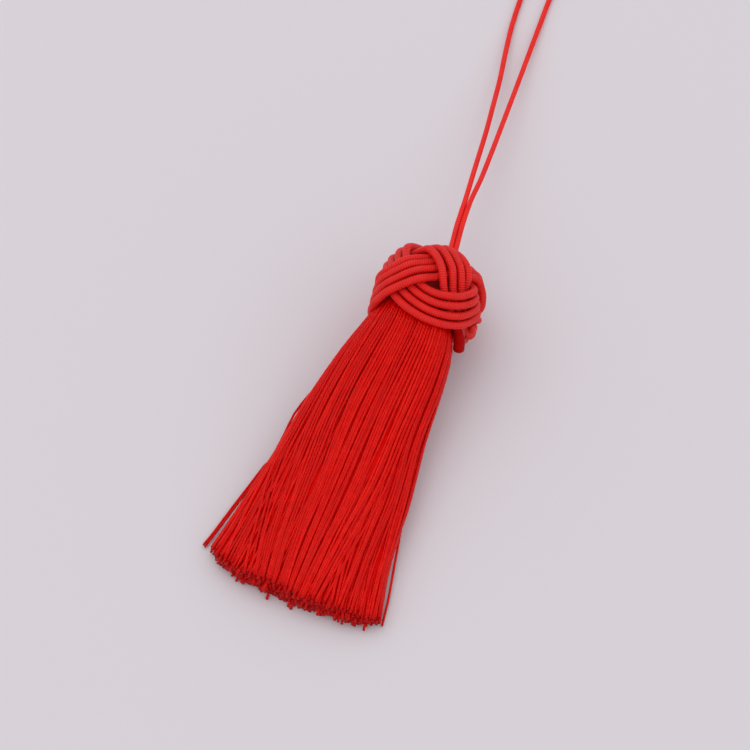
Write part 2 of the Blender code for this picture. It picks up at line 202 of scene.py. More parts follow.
def makeTubes(name, routes, diameter, sides, swell=None):
    # routes in millimetres from the middle of the knot; UV runs 0 to 1 along and round each tube
    curve = bpy.data.curves.new(name, "CURVE")
    curve.dimensions = "3D"
    for number, route in enumerate(routes):
        spline = curve.splines.new("POLY")
        spline.points.add(len(route) - 1)
        place = (route - baseCentre) * mm
        spline.points.foreach_set("co", np.column_stack([place, np.ones(len(place))]).ravel())
        if swell is not None:
            spline.points.foreach_set("radius", swell[number])
    curve.bevel_depth = diameter / 2 * mm
    curve.bevel_resolution = (sides - 4) // 2
    curve.use_fill_caps = True
    holder = linkObject(name, curve)
    bpy.context.view_layer.update()
    mesh = bpy.data.meshes.new_from_object(holder.evaluated_get(bpy.context.evaluated_depsgraph_get()))
    bpy.data.objects.remove(holder, do_unlink=True)
    bm = bmesh.new()
    bm.from_mesh(mesh)
    bmesh.ops.remove_doubles(bm, verts=bm.verts, dist=0.000001)
    bm.to_mesh(mesh)
    bm.free()
    mesh.name = name
    mesh.shade_smooth()
    markDistance(mesh)
    return linkObject(name, mesh)


def roundEnds(route, diameter):
    # a few close points at either end, and the share of the full thickness at each point
    along = distanceAlong(route)
    tip = diameter / 2 * np.array([0.0, 0.08, 0.25, 0.55, 1.0])
    between = along[(along > diameter) & (along < along[-1] - diameter)]
    where = np.concatenate([tip, between, along[-1] - tip[::-1]])
    inset = np.minimum(where, along[-1] - where) / (diameter / 2)
    swell = np.sqrt(1 - np.clip(1 - inset, 0, 0.98) ** 2)
    return np.stack([np.interp(where, along, route[:, axis]) for axis in range(3)], -1), swell


# ---- woven knot: one wrapped cord, three leads and five bights, followed round four times
knotCord = {
    "diameter": 1.52, "pitch": 1.62, "leads": 3, "bights": 5, "passes": 4,
    "layerLift": 0.86, "bluntness": 0.055, "bightAngle": 4.0, "startTurn": 432.0,
    "shiftTurn": 432.0, "shiftSpan": 26.0, "crossLift": 1.7,
    "rimRaise": 6.5, "rimAngle": 88.0, "rimWidth": 36.0, "cutStart": 40.0, "cutEnd": 26.0,
    "across": 1.5, "face": 12.6, "yaw": -7.0, "tilt": 5.0, "flat": 0.12, "solidCord": 1.40,
    "samples": 6000, "pointSpacing": 2.05, "crossEarly": 9.0, "crossLate": 7.0,
    "ribPitch": 0.45, "ribDepth": 0.13, "colours": ("#cc0906", "#e21610", "#ee2219"),
    # painted shade: the cord's last 8.5 mm lie in the knot's shadow and are painted darker and duller
    "paintedShadeEnd": 8.5, "frayed": 0.45, "frayStart": 5.5, "frayFull": 2.5,
}
weaveProfile = ((8.6, -11.4), (9.05, -9.2), (9.4, -6.5), (9.45, -3.6), (9.15, -0.9),
                (8.4, 1.6), (6.95, 3.75), (5.1, 5.0), (3.1, 5.6))  # radius, along, from the rim to the top
layerTable = ((0, 0.1), (38, 1), (80, 1), (100, -1), (142, -1), (180, 0),
              (218, 1), (260, 1), (280, -1), (322, -1), (360, 0.1))  # over and under, by phase
drawnRound = ((-104.0, -44.0, 60.0), (84.0, 22.0, 46.0))  # degrees: middle, turned by, reach
nubPoints = ((10.1, -4.9, 1.0), (9.8, -3.4, 0.3), (9.4, -2.5, -1.7))
stubPoints = ((8.4, -5.6, 4.4), (9.2, -6.9, 3.4), (10.0, -8.2, 2.4), (10.9, -9.6, 1.2))
# how the cord settles on the core, between two heights over the weave's middle surface
settling = {"rounds": 700, "spacing": 1.0, "clearance": 1.70, "inner": -0.88, "outer": 1.08,
            "push": 0.28, "pullIn": 0.35, "reach": 3.0, "skipped": 5, "refresh": 15}
settleStages = ((0.3, 0.30, 0.02), (0.6, 0.14, 0.002), (1.0, 0.04, 0.002))  # until, smoothing, hold
clearing = {"rounds": 160, "clearance": 1.46, "push": 0.3, "reach": 4.5, "skipped": 3, "refresh": 20}


def ease(value, low, high):
    t = np.clip((value - low) / (high - low), 0, 1)
    return t * t * (3 - 2 * t)


def tableValue(table, phase):
    rows = np.array(table, float)
    return np.interp(np.degrees(np.mod(phase, 2 * np.pi)), rows[:, 0], rows[:, 1])


def awayFrom(angle, middle):
    return np.mod(np.degrees(angle) - middle + 180, 360) - 180


class WeaveSurface:
    def __init__(self):
        self.profile = smoothLine(weaveProfile, 16)
        self.along = distanceAlong(self.profile)
        self.length = self.along[-1]
        tangent = np.gradient(self.profile, axis=0)
        self.tangent = tangent / np.linalg.norm(tangent, axis=1)[:, None]
        self.normal = np.stack([self.tangent[:, 1], -self.tangent[:, 0]], 1)

    def point(self, angle, travel, lift):
        on = np.clip(travel, 0, self.length)
        radius, axial = [np.interp(on, self.along, self.profile[:, k])
                         + lift * np.interp(on, self.along, self.normal[:, k])
                         + (travel - on) * np.interp(on, self.along, self.tangent[:, k]) for k in (0, 1)]
        return np.stack([radius * np.sin(angle), axial, radius * np.cos(angle)], -1)

    def locate(self, points):
        radius = np.hypot(points[:, 0], points[:, 2])
        nearest = ((radius[:, None] - self.profile[None, :, 0]) ** 2
                   + (points[:, 1, None] - self.profile[None, :, 1]) ** 2).argmin(1)
        off = np.stack([radius, points[:, 1]], 1) - self.profile[nearest]
        return (np.arctan2(points[:, 0], points[:, 2]),
                self.along[nearest] + (off * self.tangent[nearest]).sum(1),
                (off * self.normal[nearest]).sum(1), nearest)


def laneOffset(turn, lastShift):
    # the cord steps across by one lane each time round, and at the last shift goes back across them all
    k = knotCord
    lane = np.zeros_like(turn)
    for shift in range(k["passes"] - 1):
        centre = k["shiftTurn"] + 360 * k["leads"] * shift
        lane += ease(turn, centre - k["shiftSpan"], centre + k["shiftSpan"])
    lane -= (k["passes"] - 1) * ease(turn, lastShift - k["shiftSpan"], lastShift + k["shiftSpan"])
    return ((k["passes"] - 1) / 2 - lane) * k["pitch"]


def wovenLine(surface):
    k = knotCord
    first = math.radians(k["bightAngle"])
    total = 360.0 * k["leads"] * k["passes"]
    angle = np.linspace(0, math.radians(total), k["samples"]) + first + math.radians(k["startTurn"])
    turn = np.degrees(angle - angle[0])
    lastShift = k["shiftTurn"] + 360 * k["leads"] * (k["passes"] - 1)
    offset = laneOffset(turn, lastShift)

    phase = k["bights"] / k["leads"] * (angle - first) + np.pi
    wave = (np.cos(phase) - k["bluntness"] * np.cos(3 * phase)) / (1 - k["bluntness"])
    travel = surface.length / 2 + (surface.length - (k["passes"] - 1) * k["pitch"]) / 2 * wave
    raised = k["rimRaise"] * np.exp(-(awayFrom(angle, k["rimAngle"]) / k["rimWidth"]) ** 2)
    travel = travel + raised * np.clip(1 - travel / surface.length, 0, 1)

    placed = angle.copy()
    for drawnMiddle, drawnTurn, reach in drawnRound:
        placed += math.radians(drawnTurn) * np.exp(-(awayFrom(angle, drawnMiddle) / reach) ** 2)
    middle = surface.point(placed, travel, np.zeros_like(travel))
    tangent = np.gradient(middle, axis=0)
    tangent /= np.linalg.norm(tangent, axis=1)[:, None]
    side = np.cross(tangent, surface.point(placed, travel, np.ones_like(travel)) - middle)
    if side[np.argmin(travel)][1] > 0:
        side = -side
    laneAngle, laneTravel, _, _ = surface.locate(middle + side * offset[:, None])
    crossStart, crossEnd = lastShift - k["shiftSpan"], lastShift + k["shiftSpan"]
    crossing = (ease(turn, crossStart - k["crossEarly"], crossStart + k["crossLate"])
                * (1 - ease(turn, crossEnd - k["crossLate"], crossEnd + k["crossEarly"])))
    height = k["layerLift"] * tableValue(layerTable, phase)
    line = surface.point(laneAngle, laneTravel, height * (1 - crossing) + k["crossLift"] * crossing)
    kept = line[(turn > k["cutStart"]) & (turn < total - k["cutEnd"])]
    return np.vstack([nubPoints, kept, stubPoints])


def closePairs(points, reach, apart):
    gaps = ((points[:, None] - points[None]) ** 2).sum(-1)
    first, second = np.nonzero(np.triu(gaps < reach * reach, apart))
    return first, second


def settleCord(points, surface):
    start, count = points.copy(), len(points)
    for step in range(settling["rounds"]):
        done = step / settling["rounds"]
        if step % settling["refresh"] == 0:
            first, second = closePairs(points, settling["reach"], settling["skipped"])
        bend = np.zeros_like(points)
        bend[1:-1] = (points[:-2] + points[2:]) / 2 - points[1:-1]
        smoothing, hold = next(stage[1:] for stage in settleStages if done < stage[0])
        points = points + smoothing * bend + hold * (start - points)
        apart = points[first] - points[second]
        gap = np.sqrt((apart ** 2).sum(1))
        room = np.clip(settling["clearance"] - gap, 0, None)
        push = apart * (settling["push"] * room / np.maximum(gap, 0.1))[:, None]
        for axis in range(3):
            points[:, axis] += (np.bincount(first, push[:, axis], count)
                                - np.bincount(second, push[:, axis], count))
        _, travel, height, nearest = surface.locate(points)
        move = (np.clip(settling["inner"] - height, 0, None)
                - settling["pullIn"] * np.clip(height - settling["outer"], 0, None))
        move = np.where(travel > -0.3, move, 0)
        outward = move * surface.normal[nearest, 0] / np.maximum(np.hypot(points[:, 0], points[:, 2]), 0.5)
        points[:, 0] += outward * points[:, 0]
        points[:, 2] += outward * points[:, 2]
        points[:, 1] += move * surface.normal[nearest, 1]
    return points


def clearTurns(points):
    # the cord's turns are parted until none lies in another
    count = len(points)
    for step in range(clearing["rounds"]):
        if step % clearing["refresh"] == 0:
            first, second = closePairs(points, clearing["reach"], clearing["skipped"])
            kept = second < count - 1
            first, second = first[kept], second[kept]
        start, other = points[first], points[second]
        run, otherRun = points[first + 1] - start, points[second + 1] - other
        apart = start - other
        a, b, e = (run * run).sum(1), (run * otherRun).sum(1), (otherRun * otherRun).sum(1)
        c, f = (run * apart).sum(1), (otherRun * apart).sum(1)
        s = np.clip((b * f - c * e) / np.maximum(a * e - b * b, 1e-6), 0, 1)
        t = np.clip((b * s + f) / e, 0, 1)
        s = np.clip((b * t - c) / a, 0, 1)
        apart = apart + run * s[:, None] - otherRun * t[:, None]
        gap = np.sqrt((apart ** 2).sum(1))
        room = np.clip(clearing["clearance"] - gap, 0, None)
        push = apart * (clearing["push"] * room / np.maximum(gap, 0.1))[:, None]
        for axis in range(3):
            for index, share in ((first, 1 - s), (first + 1, s), (second, t - 1), (second + 1, -t)):
                points[:, axis] += np.bincount(index, push[:, axis] * share, count)
    return points


def turnKnot(points):
    points = np.atleast_2d(np.array(points, float))
    face, yaw, tilt = [math.radians(knotCord[key]) for key in ("face", "yaw", "tilt")]
    across = points[:, 0] * math.cos(face) + points[:, 2] * math.sin(face)
    up = points[:, 2] * math.cos(face) - points[:, 0] * math.sin(face)
    along = points[:, 1] * math.cos(tilt) - up * math.sin(tilt)
    height = points[:, 1] * math.sin(tilt) + up * math.cos(tilt)
    return np.stack([across * math.cos(yaw) - along * math.sin(yaw) + knotCord["across"],
                     across * math.sin(yaw) + along * math.cos(yaw), height], -1)


def knotRoute():
    surface = WeaveSurface()
    line = wovenLine(surface)
    settled = settleCord(evenPoints(line, int(distanceAlong(line)[-1] / settling["spacing"])), surface)
    count = int(distanceAlong(settled)[-1] / knotCord["pointSpacing"])
    placed = turnKnot(clearTurns(evenPoints(settled, count)))
    height = knotCord["solidCord"] / 2 - knotCord["flat"] - placed[:, 2].min()
    placed[:, 2] += height
    return placed, height


knotLine, knotHeight = knotRoute()
knotLength = distanceAlong(knotLine)[-1]
print("knot route", len(knotLine), "points,", round(knotLength, 1), "mm of cord")


# ---- hanging loop, a doubled thin cord laid out behind the head
loopCord = {"diameter": 1.0, "floorGap": 0.01, "points": 150,
            "ribPitch": 0.55, "ribDepth": 0.04, "colours": ("#d40b07", "#ec1a12", "#f52c1e"), "paintedShadeEnd": 0.0}
loopStart = ((-0.55, 3.95, 0.0), (-0.55, 6.6, 0.0))
loopMiddle = (
    (1.18, 10.4, 11.6), (0.39, 15.3, 10.9), (-0.33, 21.6, 9.9), (-1.6, 30.5, 8.0), (-3.0, 40.3, 5.7),
    (-4.3, 47.9, 3.9), (-5.5, 55.0, 2.5), (-7.1, 62.9, 1.3), (-8.3, 70.0, 0.6), (-9.0, 78.0, 0.43),
    (-9.6, 86.0, 0.43), (-9.2, 91.5, 0.43), (-6.6, 94.2, 0.43), (-4.3, 91.8, 0.43), (-3.6, 86.0, 0.43),
    (-3.5, 77.8, 0.43), (-3.1, 71.0, 0.7), (-2.6, 64.0, 1.4), (-1.9, 55.5, 2.6), (-0.9, 44.2, 4.9),
    (-0.1, 35.5, 6.9), (0.5, 28.1, 8.6), (0.7, 21.8, 9.9), (1.39, 15.4, 10.9), (2.18, 10.45, 11.6),
)
loopEnd = ((0.55, 6.6, 0.0), (0.55, 3.95, 0.0))


def makeLoop():
    lift = np.array([0, 0, knotHeight])
    route = smoothLine(np.vstack([turnKnot(loopStart) + lift, loopMiddle, turnKnot(loopEnd) + lift]), 12)
    route[:, 2] = np.maximum(route[:, 2], loopCord["diameter"] / 2 + loopCord["floorGap"])
    route = evenPoints(route, loopCord["points"])
    loopCord["length"] = distanceAlong(route)[-1]
    loop = makeTubes("hanging_loop_cord", [route], loopCord["diameter"], 12)
    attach(loop, "root")
    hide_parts("hanging_loop")
    return loop


loopPiece = makeLoop()
print("hanging loop", round(loopCord["length"], 1), "mm of cord")


# ---- materials
# wrapped knotting cord: satin thread wound close round a core, so fine ribs run across it, softly shining
cordFinish = {"fibreScale": 2600.0, "mottleScale": 420.0, "roughness": 0.48, "shine": 0.27,
              # painted shade for the cord's end in the knot's shadow: its lower shine, darker red and fade-in
              "paintedShadeShine": 0.05, "paintedShadeColour": "#a60000", "paintedShadeFade": 0.75,
              "sheen": 0.05, "sheenRoughness": 0.4, "sheenColour": "#ff9a90"}


def makeWrappedCord(name, cord, length):
    material, tree, shader = newMaterial(name)
    uv = addNode(tree, "ShaderNodeTexCoord").outputs["UV"]
    parts = addNode(tree, "ShaderNodeSeparateXYZ", {0: uv})
    along = addMath(tree, "MULTIPLY", parts.outputs["X"], length / cord["ribPitch"])
    ribs = addWave(tree, addMath(tree, "ADD", along, parts.outputs["Y"]))
    place = addNode(tree, "ShaderNodeTexCoord").outputs["Object"]
    fibre = addNoise(tree, place, cordFinish["fibreScale"])
    mottle = addNoise(tree, place, cordFinish["mottleScale"])
    # painted shade and highlight: the colour is darker in the rib grooves and lighter on the rib tops, and
    # mottled at random
    ribShadeAndMottle = addRange(tree, addMath(tree, "MULTIPLY", ribs, mottle), fromMin=0.0, fromMax=0.62)
    colour = addColours(tree, ribShadeAndMottle, list(zip((0.0, 0.55, 1.0), cord["colours"])))
    height = addMath(tree, "MULTIPLY_ADD", fibre, 0.25, ribs)
    tree.links.new(addBump(tree, height, 0.6, cord["ribDepth"]), shader.inputs["Normal"])
    shader.inputs["Specular IOR Level"].default_value = cordFinish["shine"]
    if cord["paintedShadeEnd"]:
        # painted shade: the last few millimetres lie in the knot's shadow, so they are painted a darker red
        # with less shine
        share = cord["paintedShadeEnd"] / length
        paintedShade = addRange(tree, readAttribute(tree, "down"), fromMin=1 - share,
                         fromMax=1 - cordFinish["paintedShadeFade"] * share)
        colour = addBlend(tree, paintedShade, colour, toLinear(cordFinish["paintedShadeColour"]))
        shine = addRange(tree, paintedShade, toMin=cordFinish["shine"], toMax=cordFinish["paintedShadeShine"])
        tree.links.new(shine, shader.inputs["Specular IOR Level"])
    tree.links.new(colour, shader.inputs["Base Color"])
    shader.inputs["Roughness"].default_value = cordFinish["roughness"]
    shader.inputs["Sheen Weight"].default_value = cordFinish["sheen"]
    shader.inputs["Sheen Roughness"].default_value = cordFinish["sheenRoughness"]
    shader.inputs["Sheen Tint"].default_value = toLinear(cordFinish["sheenColour"])
    return material


# spun silk: three fine plies twisted together, so small slanting beads glint down each thread
silk = {"thread": 0.60, "beadPitch": 0.75, "length": 68.0, "beadDepth": 0.08, "patchScale": 700.0,
        "colours": ((0.0, "#c00000"), (0.4, "#d10000"), (0.8, "#e9160d")),
        # painted shade: a darker red for the thread ends at the hem, which face away from the light
        "hemShadeColour": "#c40004", "cutStart": 0.986, "roughness": 0.27, "shine": 0.17, "shineColour": "#ffe4d2"}


def makeSilk():
    material, tree, shader = newMaterial("twisted_silk")
    uv = addNode(tree, "ShaderNodeTexCoord").outputs["UV"]
    parts = addNode(tree, "ShaderNodeSeparateXYZ", {0: uv})
    along = addMath(tree, "MULTIPLY", parts.outputs["X"], silk["length"] / silk["beadPitch"])
    # no two threads are twisted alike, so each has its own pitch, start and tone
    thread = addNode(tree, "ShaderNodeNewGeometry").outputs["Random Per Island"]
    twisted = addMath(tree, "MULTIPLY", along, addRange(tree, thread, toMin=0.75, toMax=1.2))
    slanted = addMath(tree, "MULTIPLY_ADD", parts.outputs["Y"], 2.0, twisted)
    beads = addWave(tree, addMath(tree, "MULTIPLY_ADD", thread, 7.0, slanted))
    # the twist shows in flecks, strong in one place and lost in the next
    place = addNode(tree, "ShaderNodeTexCoord").outputs["Object"]
    strength = addRange(tree, addNoise(tree, place, silk["patchScale"]), fromMin=0.38, fromMax=0.62)
    flecks = addMath(tree, "MULTIPLY", beads, strength)
    # painted highlight: the bead tops are painted a lighter red, mixed half and half with each thread's own
    # random tone
    glintAndTone = addMath(tree, "MULTIPLY_ADD", flecks, 0.5, addMath(tree, "MULTIPLY", thread, 0.5))
    colour = addColours(tree, glintAndTone, silk["colours"])
    tree.links.new(addBump(tree, flecks, 0.8, silk["beadDepth"]), shader.inputs["Normal"])
    # painted shade: the thread ends at the hem face away from the light, so their last stretch is painted
    # darker
    hemShade = addRange(tree, readAttribute(tree, "down"), fromMin=silk["cutStart"], fromMax=1.0)
    tree.links.new(addBlend(tree, hemShade, colour, toLinear(silk["hemShadeColour"])), shader.inputs["Base Color"])
    shader.inputs["Roughness"].default_value = silk["roughness"]
    shader.inputs["Specular IOR Level"].default_value = silk["shine"]
    shader.inputs["Specular Tint"].default_value = toLinear(silk["shineColour"])
    return material


# bound silk round the core: dull, and painted a darker red as painted shade for the shadow deep inside the
# knot between the turns
def makeShadedCoreSilk():
    material, tree, shader = newMaterial("bound_silk_core_painted_shade")
    place = addNode(tree, "ShaderNodeTexCoord").outputs["Object"]
    turned = addNode(tree, "ShaderNodeMapping", {"Vector": place, "Scale": (300.0, 2400.0, 300.0)})
    strands = addNode(tree, "ShaderNodeTexNoise", {"Vector": turned.outputs[0], "Scale": 1.0}).outputs["Fac"]
    # painted shade: dark reds for the shadowed inside of the knot
    colour = addColours(tree, strands, ((0.3, "#980000"), (0.7, "#bc0402")))
    tree.links.new(colour, shader.inputs["Base Color"])
    shader.inputs["Roughness"].default_value = 0.7
    return material


# deep silk: threads deep in the bundle, which show only as stripes of plain red between the outer ones,
# painted brighter than the outer threads as painted light that lifts the shade in the gaps
def makeLightenedDeepSilk(stripes):
    material, tree, shader = newMaterial("deep_silk_painted_light")
    scaled = addMath(tree, "MULTIPLY", readAttribute(tree, "around"), stripes)
    noise = addNode(tree, "ShaderNodeTexNoise", {"W": scaled, "Scale": 1.0}, noise_dimensions="1D").outputs[0]
    # painted light: brighter reds than the outer threads' own, so the gaps between them don't darken
    colour = addColours(tree, noise, ((0.3, "#d80000"), (0.7, "#f40200")))
    tree.links.new(colour, shader.inputs["Base Color"])
    shader.inputs["Roughness"].default_value = 0.8
    shader.inputs["Specular IOR Level"].default_value = 0.1
    return material


cordMaterial = makeWrappedCord("wrapped_satin_cord", knotCord, knotLength)
loopMaterial = makeWrappedCord("wrapped_loop_cord", loopCord, loopCord["length"])
silkMaterial = makeSilk()
loopPiece.data.materials.append(loopMaterial)
print("materials ready")


# ---- knot
def restOnFloor(piece):
    # pressed flat where it lies
    places = np.empty(len(piece.data.vertices) * 3)
    piece.data.vertices.foreach_get("co", places)
    places[2::3] = np.maximum(places[2::3], 0.0)
    piece.data.vertices.foreach_set("co", places)


# turns that lie a little aside round the small opening: point, reach in points, across, along, up
drawnIn = (
    (28.5, 2.5, 0.0, -0.35, 0.0), (413.5, 2.2, -0.45, -0.15, 0.0), (103.5, 2.0, -0.25, -0.1, 0.0),
)


def makeKnot():
    line = knotLine.copy()
    number = np.arange(len(line))
    for middle, reach, *pull in drawnIn:
        line += np.exp(-((number - middle) / reach) ** 2)[:, None] * pull
    line = smoothLine(line, 6)
    line = np.vstack([line, line[-1] + 2 * (line[-1] - line[-2])])
    route, swell = roundEnds(line, knotCord["diameter"])
    # the cut end that stands out over the skirt has frayed a little thicker
    fromEnd = distanceAlong(route) - distanceAlong(route)[-1]
    swell *= 1 + knotCord["frayed"] * ease(fromEnd, -knotCord["frayStart"], -knotCord["frayFull"])
    knot = makeTubes("woven_knot", [route], knotCord["diameter"], 12, [swell])
    restOnFloor(knot)
    knot.data.materials.append(cordMaterial)
    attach(knot, "root")
    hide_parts("knot_head")


makeKnot()
print("knot woven")


# ---- bound core inside the knot: radius, along
coreProfile = (
    (0.0, -9.6), (6.7, -9.6), (6.7, -7.6), (6.6, -5.6), (6.5, -3.4), (6.1, -0.8), (5.3, 1.1), (4.1, 2.4),
    (2.4, 3.2), (0.0, 3.5),
)


def makeCore():
    bm = bmesh.new()
    verts = [bm.verts.new((0.0, along, radius)) for radius, along in coreProfile]
    edges = [bm.edges.new(pair) for pair in zip(verts[:-1], verts[1:])]
    bmesh.ops.spin(bm, geom=verts + edges, cent=(0, 0, 0), axis=(0, 1, 0), angle=2 * math.pi,
                   steps=48, use_merge=True)
    bmesh.ops.remove_doubles(bm, verts=bm.verts, dist=0.0001)
    for vertex, place in zip(bm.verts, turnKnot([v.co for v in bm.verts])):
        vertex.co = (place + (0, 0, knotHeight) - baseCentre) * mm
    bmesh.ops.recalc_face_normals(bm, faces=bm.faces)
    mesh = meshFrom(bm, "bound_core")
    mesh.shade_smooth()
    mesh.materials.append(makeShadedCoreSilk())
    core = linkObject("bound_core", mesh)
    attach(core, "root")
    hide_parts("tassel_skirt")


makeCore()
print("core bound")


# ---- skirt: fine silk threads that fan out from the neck and settle on the surface
skirt = {
    "threads": 720, "stations": 25, "sides": 8, "seed": 11, "joined": 4, "thickness": (0.85, 1.15),
    "strayThickness": 0.8, "slimAtCut": 0.08, "spread": 1.16, "fullness": 3.3, "upperPower": 2.3,
    "locks": 140, "lockScatter": 0.18, "lockLift": 0.2, "lockSway": 0.2, "swayReach": (26, 60),
    "waver": 0.07, "shortWaver": (12, 22), "longWaver": (26, 50),
    "ragged": 0.3, "longer": 0.04, "longerBy": (0.5, 1.3), "floorGap": 0.02,
}
gather = {"most": 0.2, "bySection": (0.0, 0.0, 0.0, 0.3, 0.8, 1.0, 0.9, 0.7)}  # locks draw together
# along, middle across, middle height, half width, half height, squareness of the lower half
skirtSections = (
    (-7.0, 0.5, 11.2, 6.4, 6.4, 2.0),
    (-9.2, 0.6, 10.9, 7.6, 6.9, 2.0),
    (-13.0, 0.6, 10.0, 9.0, 6.7, 2.2),
    (-20.0, -0.25, 8.4, 10.6, 5.9, 2.3),
    (-31.0, -1.3, 6.3, 12.1, 5.0, 2.6),
    (-44.0, -1.5, 4.4, 13.9, 4.16, 3.2),
    (-57.0, -1.95, 3.0, 15.85, 2.76, 4.0),
    (-69.0, -1.6, 2.5, 18.4, 2.26, 4.5),
)
# where the cut hem lies: across, along
hemLine = ((-20.9, -62.3), (-18.4, -64.8), (-11.9, -66.9), (-5.0, -67.5), (1.7, -68.4), (9.0, -68.2),
           (14.4, -67.8), (16.8, -66.4))

# single threads that have strayed from the rest: across, along, height
strays = (
    ((-15.9, -42.5, 2.9), (-16.6, -44.6, 2.5), (-17.6, -48.6, 2.0), (-18.6, -52.5, 1.6), (-19.5, -56.3, 1.2),
     (-20.4, -60.0, 0.8), (-21.1, -62.3, 0.5)),
    ((-15.7, -42.5, 2.9), (-16.3, -44.6, 2.5), (-17.2, -48.6, 2.0), (-18.2, -52.5, 1.6), (-19.1, -56.3, 1.2),
     (-20.0, -60.0, 0.8), (-20.7, -62.6, 0.5)),
    ((-13.7, -28.2, 5.6), (-14.2, -30.2, 5.2), (-14.6, -31.9, 5.0), (-14.8, -33.5, 4.8), (-14.8, -35.6, 4.5),
     (-15.1, -38.5, 4.0), (-15.7, -44.0, 2.8), (-17.0, -51.0, 2.0), (-19.2, -63.4, 0.6)),
    ((13.5, -51.4, 1.9), (14.15, -54.8, 1.5), (14.85, -58.1, 1.2), (15.5, -61.3, 0.9), (15.85, -63.7, 0.7),
     (16.3, -66.7, 0.5)),
)


def keepInside(places, halfWidth, halfHeight, lowerPower):
    power = np.where(places[:, 1] > 0, skirt["upperPower"], lowerPower)
    reach = ((np.abs(places[:, 0]) / halfWidth) ** power
             + (np.abs(places[:, 1]) / halfHeight) ** power) ** (1 / power)
    return places / np.maximum(reach, 1)[:, None]


def spreadThreads(places, size, rounds):
    # neighbours push apart until the section is evenly full
    spacing = skirt["spread"] * math.sqrt(skirt["fullness"] * size[0] * size[1] / len(places))
    for step in range(rounds):
        if step % 6 == 0:
            first, second = closePairs(places, spacing * 1.5, 1)
        apart = places[first] - places[second]
        gap = np.sqrt((apart ** 2).sum(1)) + 1e-9
        push = apart * (0.3 * np.clip(spacing - gap, 0, None) / gap)[:, None]
        moved = [places[:, axis] + np.bincount(first, push[:, axis], len(places))
                 - np.bincount(second, push[:, axis], len(places)) for axis in (0, 1)]
        places = keepInside(np.stack(moved, 1), *size)
    return places


def sunflower(count, reach, turned=0.0):
    # places spread evenly over a disc
    index = np.arange(count)
    radius = np.sqrt((index + 0.5) / count) * reach
    golden = index * math.pi * (3 - math.sqrt(5)) + turned
    return np.stack([radius * np.cos(golden), radius * np.sin(golden)], 1)


def threadSections():
    # the threads fill the round neck, and are carried down to the flat hem without crossing
    sizes = np.array(skirtSections)[:, 3:6]
    places = spreadThreads(sunflower(skirt["threads"], sizes[0, 0]), sizes[0], 60)
    sections = [places]
    for here, there in zip(sizes[:-1], sizes[1:]):
        for part in range(4):
            low, high = here + (there - here) * part / 4, here + (there - here) * (part + 1) / 4
            places = spreadThreads(places * (high / low)[:2], high, 12)
        sections.append(places)
    return np.array(sections)


def lockOf(places, chance):
    # each thread belongs to the lock whose middle is nearest at the neck
    middles = sunflower(skirt["locks"], np.abs(places).max(), 1.0)
    middles += chance.normal(0, skirt["lockScatter"], middles.shape)
    return ((places[:, None] - middles[None]) ** 2).sum(-1).argmin(1)


def gatherLocks(sections, lock, chance):
    # the threads of a lock draw together and sway as one on their way to the hem
    table = np.array(skirtSections)
    locks = skirt["locks"]
    share = np.array(gather["bySection"]) * gather["most"]
    sizes = np.maximum(np.bincount(lock, minlength=locks), 1)
    swayPhase, swayReach = chance.uniform(0, 2 * np.pi, locks), chance.uniform(*skirt["swayReach"], locks)
    swayAcross, swayUp = chance.normal(0, 1, locks), chance.normal(0, 1, locks)
    rings = np.zeros((len(sections), skirt["threads"], 3))
    for k, places in enumerate(sections):
        middles = np.stack([np.bincount(lock, places[:, axis], locks) / sizes for axis in (0, 1)], 1)
        pull = (middles[lock] - places) * share[k]
        sway = np.sin(table[k, 0] * 2 * np.pi / swayReach + swayPhase)[lock] * share[k] / gather["most"]
        rings[k, :, 0] = places[:, 0] + pull[:, 0] + table[k, 1] + skirt["lockSway"] * sway * swayAcross[lock]
        rings[k, :, 1] = table[k, 0]
        rings[k, :, 2] = places[:, 1] + pull[:, 1] + table[k, 2] + skirt["lockLift"] * sway * swayUp[lock]
    return rings


def waverThread(route, chance):
    # both reaches are drawn before the height and start of either wave
    loose = ease(-route[:, 1], 10, 45)
    for axis in (0, 2):
        for reach in (chance.uniform(*skirt["shortWaver"]), chance.uniform(*skirt["longWaver"])):
            route[:, axis] += (skirt["waver"] * loose * chance.normal(0, 1)
                               * np.sin(route[:, 1] * 2 * np.pi / reach + chance.uniform(0, 2 * np.pi)))


def hemAt(across):
    return np.interp(across, *np.array(hemLine).T)


def threadRoutes():
    chance = np.random.default_rng(skirt["seed"])
    sections = threadSections()
    lock = lockOf(sections[0], chance)
    rings = gatherLocks(sections, lock, chance)
    lockEnd = chance.normal(0, 0.5 * skirt["ragged"], skirt["locks"])
    routes = []
    for number in range(skirt["threads"]):
        route = smoothLine(rings[:, number], 6)
        waverThread(route, chance)
        end = hemAt(route[-1, 0]) + lockEnd[lock[number]] + chance.normal(0, skirt["ragged"])
        if chance.random() < skirt["longer"]:
            end -= chance.uniform(*skirt["longerBy"])
        route = cutAt(route, end)
        route[:, 2] = np.maximum(route[:, 2], silk["thread"] / 2 + skirt["floorGap"])
        routes.append(evenPoints(route, skirt["stations"]))
    gone = []
    for points in strays:
        gone.append(strayOff(routes, points, gone))
    thickness = chance.uniform(*skirt["thickness"], len(routes))
    thickness[gone] = skirt["strayThickness"]
    return routes, thickness


def strayOff(routes, points, gone):
    # the thread that passes nearest, and hasn't strayed yet, leaves the rest and follows the stray's points
    gaps = np.array([((route - points[0]) ** 2).sum(1).min() for route in routes])
    gaps[gone] = np.inf
    number = int(np.argmin(gaps))
    kept = routes[number][routes[number][:, 1] > points[0][1] + 3]
    routes[number] = evenPoints(smoothLine(np.vstack([kept, points]), 4), skirt["stations"])
    return number


